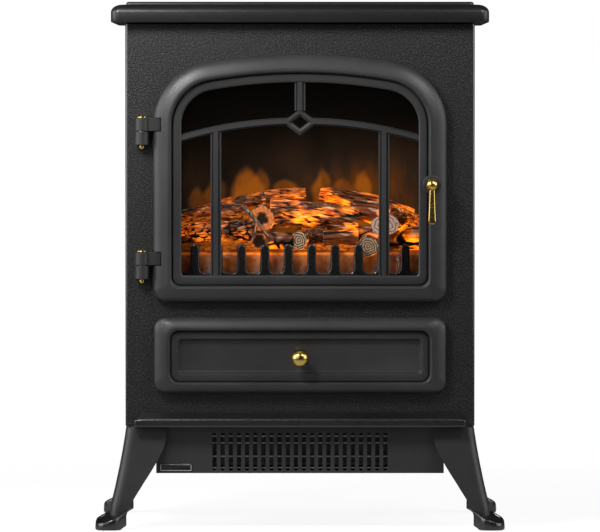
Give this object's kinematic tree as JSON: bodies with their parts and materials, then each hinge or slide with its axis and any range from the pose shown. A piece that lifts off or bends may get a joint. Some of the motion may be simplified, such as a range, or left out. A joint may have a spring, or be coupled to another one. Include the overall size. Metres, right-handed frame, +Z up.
{
  "type": "electric fireplace",
  "caption": "Free-standing stove-style electric fireplace: arched glazed door, log-effect firebox, drop-down control flap, fan heater below and splayed legs.",
  "frame": {"origin": "centre of the bounding box on the floor, under the soles", "axes": "+Z up, +Y towards the back, -Y out of the door, +X to the right as seen from the front"},
  "size_m": [0.419, 0.28, 0.54],
  "materials": {
    "textured_black": "fine wrinkle-texture black powder coat",
    "satin_black": "satin charcoal-black paint",
    "cast_black": "matt black paint",
    "brass": "polished brass",
    "glass": "clear, slightly smoked toughened glass",
    "liner": "matt black sheet",
    "screen": "translucent rear screen with the flame picture",
    "ember": "translucent tinted moulding lit from below",
    "bark": "moulded resin painted as charred bark",
    "steel": "plated steel",
    "moulded": "fine-textured moulded black plastic",
    "switch_red": "translucent red switch key",
    "label": "blank black plate with a pale border"
  },
  "bodies": {
    "cabinet": {"top_plate": "satin_black", "front_panel": "textured_black", "left_side_panel": "textured_black", "right_side_panel": "textured_black", "back_panel": "textured_black", "base_plate": "textured_black", "base_ledge": "satin_black", "leg_front_left": "satin_black", "leg_front_right": "satin_black", "leg_rear_left": "satin_black", "leg_rear_right": "satin_black", "firebox_liner": "liner", "flame_screen": "screen", "ember_bed": "ember", "led_strip": "moulded", "grate_fret": "cast_black", "log_rear_left": "bark", "log_rear_right": "bark", "log_centre": "bark", "log_left": "bark", "log_right": "bark", "log_front": "bark", "branch_fork": "bark", "spindle_bearing": "moulded", "flame_motor": "steel", "control_fascia": "moulded", "switch_body_1": "moulded", "switch_body_2": "moulded", "switch_body_3": "moulded", "thermostat_body": "steel", "outlet_grille": "satin_black", "heater_housing": "liner", "guard_rack": "steel", "heating_element": "steel", "rotor_bearing": "moulded", "blower_motor": "steel", "upper_hinge_bracket": "satin_black", "lower_hinge_bracket": "satin_black", "upper_hinge_pin": "brass", "lower_hinge_pin": "brass", "door_magnet": "cast_black", "flap_bracket_left": "steel", "flap_bracket_right": "steel", "label_plate": "label", "cable_gland": "moulded"},
    "door": {"door_frame": "satin_black", "door_glass": "glass", "door_lattice": "satin_black", "upper_hinge_leaf": "satin_black", "lower_hinge_leaf": "satin_black"},
    "handle": {"door_handle": "brass", "handle_nut": "steel"},
    "flap": {"control_flap": "satin_black", "flap_knob": "brass"},
    "rocker_1": {"rocker_1": "moulded"},
    "rocker_2": {"rocker_2": "switch_red"},
    "rocker_3": {"rocker_3": "switch_red"},
    "dial": {"thermostat_dial": "moulded"},
    "spindle": {"flame_spindle": "steel"},
    "rotor": {"blower_rotor": "steel"}
  },
  "joints": [
    {"name": "door_hinge", "type": "hinge", "parent": "cabinet", "child": "door", "pos_m": [-0.1617, -0.116, 0.35], "axis": [0, 0, -1], "range_deg": [0, 105]},
    {"name": "handle_turn", "type": "hinge", "parent": "door", "child": "handle", "pos_m": [0.1348, -0.132, 0.353], "axis": [0, 1, 0], "range_deg": [-90, 90]},
    {"name": "flap_hinge", "type": "hinge", "parent": "cabinet", "child": "flap", "pos_m": [0, -0.1132, 0.1426], "axis": [1, 0, 0], "range_deg": [0, 85]},
    {"name": "rocker_1_tilt", "type": "hinge", "parent": "cabinet", "child": "rocker_1", "pos_m": [-0.084, -0.0975, 0.175], "axis": [-1, 0, 0], "range_deg": [0, 20]},
    {"name": "rocker_2_tilt", "type": "hinge", "parent": "cabinet", "child": "rocker_2", "pos_m": [-0.052, -0.0975, 0.175], "axis": [-1, 0, 0], "range_deg": [0, 20]},
    {"name": "rocker_3_tilt", "type": "hinge", "parent": "cabinet", "child": "rocker_3", "pos_m": [-0.02, -0.0975, 0.175], "axis": [-1, 0, 0], "range_deg": [0, 20]},
    {"name": "dial_turn", "type": "hinge", "parent": "cabinet", "child": "dial", "pos_m": [0.062, -0.1, 0.175], "axis": [0, 1, 0], "range_deg": [0, 270]},
    {"name": "spindle_spin", "type": "hinge", "parent": "cabinet", "child": "spindle", "pos_m": [0, 0.001, 0.302], "axis": [1, 0, 0], "continuous": true},
    {"name": "rotor_spin", "type": "hinge", "parent": "cabinet", "child": "rotor", "pos_m": [0, -0.058, 0.0815], "axis": [1, 0, 0], "continuous": true}
  ]
}
